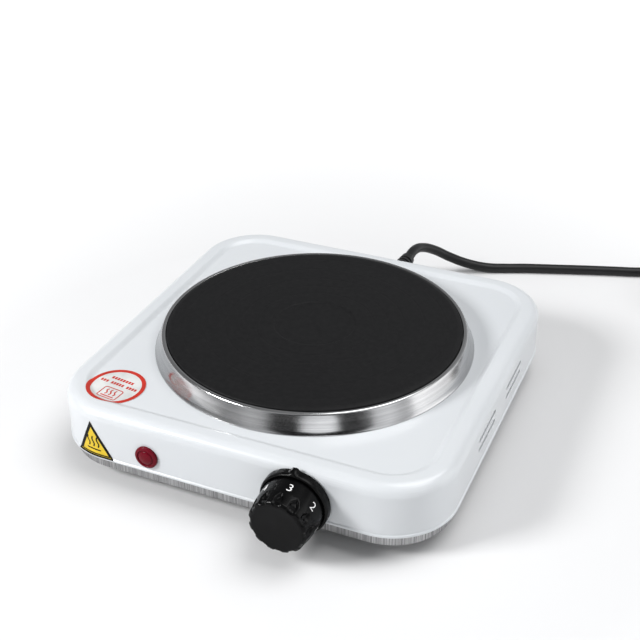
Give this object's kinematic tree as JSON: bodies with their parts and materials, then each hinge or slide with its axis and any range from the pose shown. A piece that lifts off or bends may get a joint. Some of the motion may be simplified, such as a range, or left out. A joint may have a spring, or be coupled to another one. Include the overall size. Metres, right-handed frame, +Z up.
{
  "type": "electric hot plate",
  "caption": "Low square electric hot plate: white pressed-steel body, round cast-iron plate in a steel trim ring, front dial, red pilot lamp, and a mains cord with its plug.",
  "frame": {"origin": "on the standing surface, under the middle of the body and its dial together", "axes": "+Z up, the dial faces -Y, +X is to the right seen from the dial"},
  "size_m": [0.332, 0.365, 0.0518],
  "materials": {
    "white_enamel": "gloss",
    "base_steel": "brushed",
    "zinc_steel": "satin",
    "foot_rubber": "matte",
    "ring_steel": "polished",
    "plate_iron": "matte",
    "heater_wire": "satin",
    "magnesia": "matte",
    "ceramic": "satin",
    "shield_steel": "satin",
    "collar_plastic": "gloss",
    "knob_plastic": "gloss",
    "brass": "satin",
    "leaf_brass": "satin",
    "lamp_red": "gloss",
    "lamp_glass": "clear",
    "wire_blue": "satin",
    "wire_brown": "satin",
    "wire_green": "satin",
    "wire_grey": "woven",
    "wire_orange": "satin",
    "cord_black": "satin",
    "relief_black": "satin",
    "tie_grey": "matte",
    "plug_black": "satin",
    "pin_brass": "polished",
    "label_red": "satin",
    "label_yellow": "satin"
  },
  "bodies": {
    "hot_plate_unit": {"housing": "white_enamel", "base_plate": "base_steel", "support_posts": "zinc_steel", "foot_pads": "foot_rubber", "foot_screws": "zinc_steel", "trim_ring": "ring_steel", "hot_plate": "plate_iron", "heating_coils": "heater_wire", "coil_packing": "magnesia", "plate_cover": "zinc_steel", "coil_terminals": "zinc_steel", "terminal_beads": "ceramic", "centre_stud": "zinc_steel", "clamp_strap": "zinc_steel", "shield_spacer": "zinc_steel", "heat_shield": "shield_steel", "stud_washer": "zinc_steel", "stud_nut": "zinc_steel", "dial_collar": "collar_plastic", "spindle_bush": "brass", "thermostat_bracket": "zinc_steel", "thermostat_screws": "zinc_steel", "fixed_leaf": "leaf_brass", "ceramic_washers": "ceramic", "stack_rivet": "zinc_steel", "lamp_lens": "lamp_red", "lamp_bulb": "lamp_glass", "lamp_clip": "zinc_steel", "terminal_block": "ceramic", "terminal_sleeves": "brass", "terminal_screws": "zinc_steel", "earth_screw": "brass", "live_wire": "wire_brown", "neutral_wire": "wire_blue", "earth_core": "wire_green", "earth_wire": "wire_green", "thermostat_wire": "wire_brown", "element_wires": "wire_grey", "lamp_wires": "wire_orange", "cord_sheath": "cord_black", "strain_relief": "relief_black", "cord_lead": "cord_black", "cord_coil": "cord_black", "cord_tie": "tie_grey", "cord_end": "cord_black", "plug_body": "plug_black", "plug_pins": "pin_brass", "caution_label": "label_red", "hot_surface_label": "label_yellow"},
    "dial": {"knob": "knob_plastic", "dial_spindle": "zinc_steel"},
    "thermostat_pin": {"drive_pin": "ceramic"},
    "thermostat_leaf": {"contact_leaf": "leaf_brass"}
  },
  "joints": [
    {"name": "dial_turn", "type": "hinge", "parent": "hot_plate_unit", "child": "dial", "pos_m": [0.036, -0.0915, 0.0243], "axis": [0, 1, 0], "range_deg": [-160, 95]},
    {"name": "pin_push", "type": "slide", "parent": "hot_plate_unit", "child": "thermostat_pin", "axis": [0, 1, 0], "range_m": [-0.00046, 0.00028]},
    {"name": "leaf_flex", "type": "hinge", "parent": "hot_plate_unit", "child": "thermostat_leaf", "pos_m": [0.018, -0.0752, 0.0243], "axis": [0, 0, 1], "range_deg": [-1.5, 0.9]}
  ],
  "couplings": [
    {"joint": "pin_push", "follows": "dial_turn", "m_per_rad": 0.00015915},
    {"joint": "leaf_flex", "follows": "dial_turn", "ratio": 0.00884}
  ]
}
